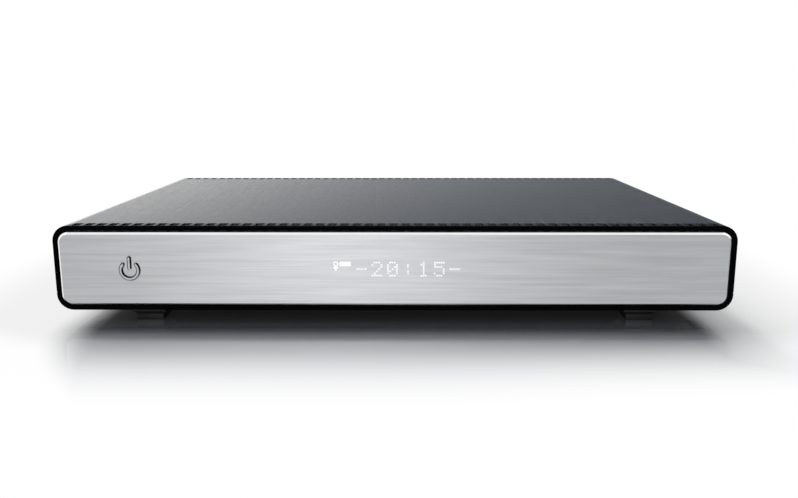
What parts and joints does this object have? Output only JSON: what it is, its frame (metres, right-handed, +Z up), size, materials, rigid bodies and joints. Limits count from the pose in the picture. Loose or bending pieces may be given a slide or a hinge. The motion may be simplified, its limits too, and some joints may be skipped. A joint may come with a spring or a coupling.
{
  "type": "satellite television receiver",
  "caption": "Flat satellite receiver box with a brushed front panel, a power key, a dot display, combs of vent slots and sockets at the back.",
  "frame": {"origin": "on the table under the middle of the whole box, front key and aerial connectors included", "axes": "+X to the right seen from the front, +Y to the back, +Z up"},
  "size_m": [0.32, 0.2184, 0.0465],
  "materials": {
    "shell_black": "fine grain, semi-gloss",
    "inner_black": "plain moulded",
    "rocker_black": "gloss",
    "foot_rubber": "satin",
    "panel_silver": "brushed along its length",
    "key_silver": "satin metallised",
    "plunger_grey": "plain",
    "board_green": "solder mask",
    "chip_black": "matt",
    "display_black": "gloss",
    "diffuser_white": "frosted",
    "pad_grey": "soft",
    "sink_aluminium": "extruded",
    "sheet_steel": "tinned",
    "rear_black": "fine powder coat",
    "screw_steel": "black zinc",
    "nickel": "nickel plate",
    "contact_gold": "gold flash",
    "insulator_white": "plain",
    "capacitor_sleeve": "shrink sleeve",
    "ferrite": "matt"
  },
  "bodies": {
    "chassis": {"top_cover": "shell_black", "bottom_tray": "shell_black", "foot_front_left": "foot_rubber", "foot_front_right": "foot_rubber", "foot_rear_left": "foot_rubber", "foot_rear_right": "foot_rubber", "front_panel": "panel_silver", "front_carrier": "inner_black", "tact_switch": "inner_black", "status_leds": "diffuser_white", "front_board": "board_green", "front_board_screws": "screw_steel", "display_module": "display_black", "display_diffuser": "diffuser_white", "ir_receiver": "chip_black", "front_header": "insulator_white", "ribbon_cable": "insulator_white", "main_header": "insulator_white", "main_board": "board_green", "board_screws": "screw_steel", "processor": "chip_black", "thermal_pad": "pad_grey", "heat_sink": "sink_aluminium", "heat_sink_pins": "insulator_white", "memory_chips": "chip_black", "capacitors": "capacitor_sleeve", "inductors": "ferrite", "module_cage": "sheet_steel", "module_header": "inner_black", "card_reader": "sheet_steel", "rear_panel": "rear_black", "rear_screws": "screw_steel", "tuner_shield": "sheet_steel", "aerial_connector_left": "nickel", "aerial_connector_right": "nickel", "connector_insulators": "insulator_white", "connector_nuts": "nickel", "optical_socket": "inner_black", "hdmi_socket": "sheet_steel", "hdmi_tongue": "inner_black", "lan_socket": "sheet_steel", "lan_contacts": "contact_gold", "usb_socket": "sheet_steel", "usb_tongues": "inner_black", "power_socket": "inner_black", "power_pin": "nickel", "switch_body": "inner_black"},
    "key": {"power_key": "key_silver"},
    "plunger": {"tact_plunger": "plunger_grey"},
    "rocker": {"switch_rocker": "rocker_black"},
    "shutter": {"optical_shutter": "inner_black"}
  },
  "joints": [
    {"name": "power_key_press", "type": "slide", "parent": "chassis", "child": "key", "axis": [0, 1, 0], "range_m": [0, 0.0005], "stiffness_N_per_m": 2000, "springref_m": -0.0005},
    {"name": "switch_plunger_press", "type": "slide", "parent": "chassis", "child": "plunger", "axis": [0, 1, 0], "range_m": [0, 0.0005]},
    {"name": "rocker_swing", "type": "hinge", "parent": "chassis", "child": "rocker", "pos_m": [-0.109, 0.0964, 0.0207], "axis": [0, 0, 1], "range_deg": [0, 15]},
    {"name": "shutter_swing", "type": "hinge", "parent": "chassis", "child": "shutter", "pos_m": [0.026, 0.0974, 0.02265], "axis": [-1, 0, 0], "range_deg": [0, 80], "stiffness_Nm_per_rad": 0.001, "springref_deg": -17.19}
  ],
  "couplings": [
    {"joint": "switch_plunger_press", "follows": "power_key_press", "ratio": 1}
  ]
}
